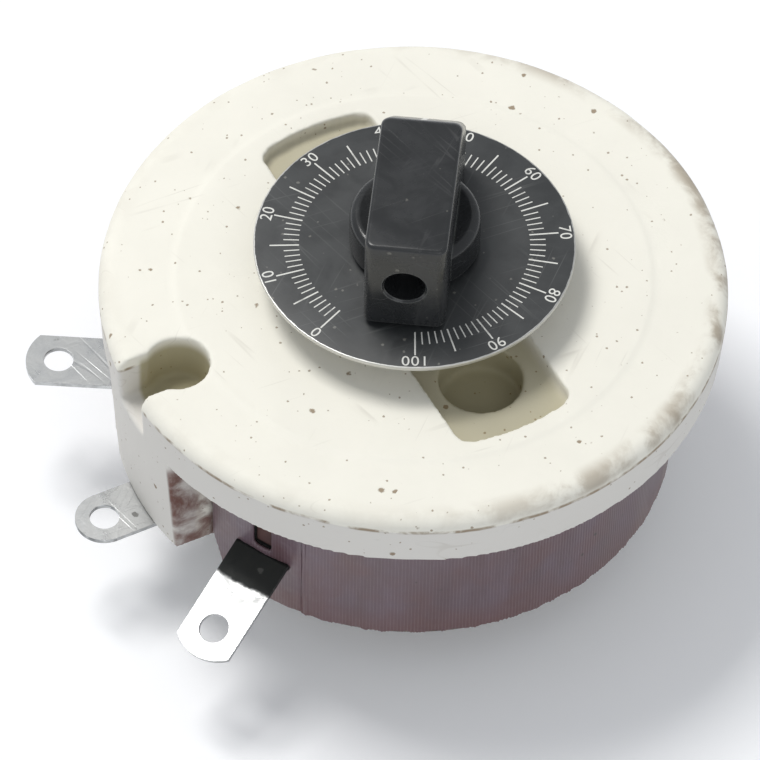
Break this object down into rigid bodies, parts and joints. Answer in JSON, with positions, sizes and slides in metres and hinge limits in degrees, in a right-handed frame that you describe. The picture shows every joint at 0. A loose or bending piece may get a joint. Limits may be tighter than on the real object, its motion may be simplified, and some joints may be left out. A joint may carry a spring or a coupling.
{
  "type": "wirewound rheostat",
  "caption": "Round ceramic power rheostat: enamelled ring winding behind a disc, side terminal lugs, rear brush arm, and a bar knob over a numbered dial.",
  "frame": {"origin": "shaft axis at the raised middle of the ceramic face, where the panel bears", "axes": "+Z along the shaft, out of the face towards the knob; the terminal block lies at 208 degrees round from +X"},
  "size_m": [0.1142, 0.1047, 0.0774],
  "materials": {
    "ceramic": "matte cream ceramic with brown specks",
    "core_ceramic": "matte ceramic",
    "resistance_wire": "oxidised drawn wire",
    "enamel": "satin maroon-purple enamel with ridges",
    "tinned": "dull tinned sheet",
    "steel": "plated steel",
    "brass": "turned brass",
    "bronze": "spring bronze",
    "dial_face": "matte black on bare aluminium",
    "knob_plastic": "glossy black moulding",
    "carbon": "metal-graphite",
    "porcelain": "glazed porcelain",
    "copper": "braided copper"
  },
  "bodies": {
    "stator": {"ceramic_base": "ceramic", "winding_core": "core_ceramic", "resistance_winding": "resistance_wire", "enamel_coat": "enamel", "end_terminal_left": "tinned", "end_terminal_right": "tinned", "centre_terminal": "tinned", "terminal_rivet": "steel", "bushing": "brass", "lock_washer": "steel", "mounting_nut": "brass", "dial_spacer": "brass", "dial_plate": "dial_face", "dial_nut": "brass", "thrust_washer": "bronze"},
    "rotor": {"knob": "knob_plastic", "knob_insert": "brass", "set_screw": "steel", "shaft": "steel", "shaft_clip": "steel", "shaft_spring": "steel", "stop_plate": "steel", "arm_hub": "porcelain", "drive_pin": "steel", "contact_arm": "bronze", "arm_brush": "carbon", "brush_holder": "brass", "collector_brush": "carbon", "collector_holder": "brass", "brush_spring": "bronze", "brush_shunt": "copper", "shunt_rivet": "steel", "rear_insulator": "porcelain", "rear_washer": "steel", "rear_clip": "steel"}
  },
  "joints": [
    {"name": "knob_turn", "type": "hinge", "parent": "stator", "child": "rotor", "pos_m": [0, 0, 0], "axis": [0, 0, 1], "range_deg": [-164.1, 135.9]}
  ]
}
